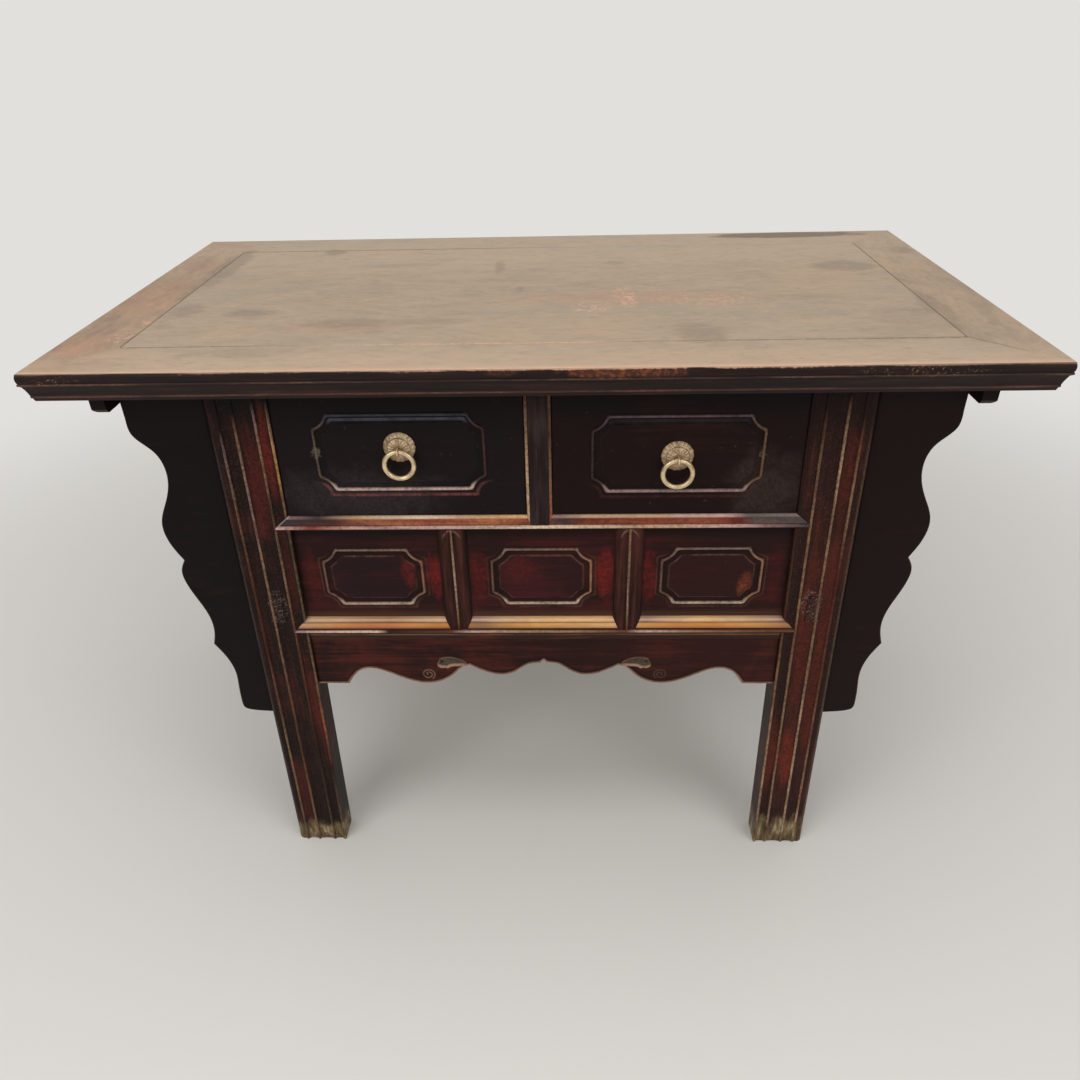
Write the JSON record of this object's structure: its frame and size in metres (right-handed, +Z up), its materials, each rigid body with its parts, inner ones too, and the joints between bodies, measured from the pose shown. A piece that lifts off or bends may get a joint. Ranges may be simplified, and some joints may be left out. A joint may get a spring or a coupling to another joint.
{
  "type": "altar table",
  "caption": "Altar table with overhanging ends, a panelled top, splayed moulded legs, scalloped spandrels and apron, and ring-pull drawers over a closed compartment.",
  "frame": {"origin": "on the floor, under the middle of the top", "axes": "+X along the table to the right, +Y to the back, +Z up"},
  "size_m": [1.106, 0.6, 0.796],
  "materials": {
    "top_wood": "worn satin lacquer over grey-brown wood",
    "dark_lacquer": "old near-black lacquer, rubbed brown on edges",
    "worn_rail": "lacquer worn through to golden brown wood",
    "bare_wood": "unfinished, dry",
    "pull_brass": "pale, lightly tarnished"
  },
  "bodies": {
    "table": {"centre_runner": "bare_wood", "compartment_floor": "bare_wood", "drawer_post": "dark_lacquer", "drawer_rail": "worn_rail", "end_battens": "dark_lacquer", "front_apron": "dark_lacquer", "front_lower_rail": "worn_rail", "front_panel_left": "dark_lacquer", "front_panel_middle": "dark_lacquer", "front_panel_right": "dark_lacquer", "front_top_rail": "dark_lacquer", "leg_front_left": "dark_lacquer", "leg_front_right": "dark_lacquer", "leg_rear_left": "dark_lacquer", "leg_rear_right": "dark_lacquer", "mullion_left": "dark_lacquer", "mullion_right": "dark_lacquer", "rear_lower_panel": "dark_lacquer", "rear_lower_rail": "dark_lacquer", "rear_middle_rail": "dark_lacquer", "rear_upper_panel": "dark_lacquer", "side_lower_panel_left": "dark_lacquer", "side_lower_panel_right": "dark_lacquer", "side_lower_rail_left": "dark_lacquer", "side_lower_rail_right": "dark_lacquer", "side_middle_rail_left": "dark_lacquer", "side_middle_rail_right": "dark_lacquer", "side_runner_left": "bare_wood", "side_runner_right": "bare_wood", "side_top_rail_left": "dark_lacquer", "side_top_rail_right": "dark_lacquer", "side_upper_panel_left": "dark_lacquer", "side_upper_panel_right": "dark_lacquer", "spandrel_front_left": "dark_lacquer", "spandrel_front_right": "dark_lacquer", "spandrel_rear_left": "dark_lacquer", "spandrel_rear_right": "dark_lacquer", "top_battens": "bare_wood", "top_end_rail_left": "top_wood", "top_end_rail_right": "top_wood", "top_front_rail": "top_wood", "top_panel": "top_wood", "top_rear_rail": "top_wood"},
    "drawer_left": {"drawer_left_back": "bare_wood", "drawer_left_bottom": "bare_wood", "drawer_left_cotter": "pull_brass", "drawer_left_front": "dark_lacquer", "drawer_left_guide_side": "bare_wood", "drawer_left_outer_side": "bare_wood", "drawer_left_rosette": "pull_brass"},
    "drawer_right": {"drawer_right_back": "bare_wood", "drawer_right_bottom": "bare_wood", "drawer_right_cotter": "pull_brass", "drawer_right_front": "dark_lacquer", "drawer_right_guide_side": "bare_wood", "drawer_right_outer_side": "bare_wood", "drawer_right_rosette": "pull_brass"},
    "ring_left": {"drawer_left_pull_ring": "pull_brass"},
    "ring_right": {"drawer_right_pull_ring": "pull_brass"}
  },
  "joints": [
    {"name": "drawer_left_slide", "type": "slide", "parent": "table", "child": "drawer_left", "axis": [0, -1, 0], "range_m": [0, 0.33]},
    {"name": "drawer_right_slide", "type": "slide", "parent": "table", "child": "drawer_right", "axis": [0, -1, 0], "range_m": [0, 0.33]},
    {"name": "ring_left_swing", "type": "hinge", "parent": "drawer_left", "child": "ring_left", "pos_m": [-0.16051, -0.26778, 0.68555], "axis": [-1, 0, 0], "range_deg": [-12, 160]},
    {"name": "ring_right_swing", "type": "hinge", "parent": "drawer_right", "child": "ring_right", "pos_m": [0.16051, -0.26778, 0.67155], "axis": [-1, 0, 0], "range_deg": [-12, 160]}
  ]
}
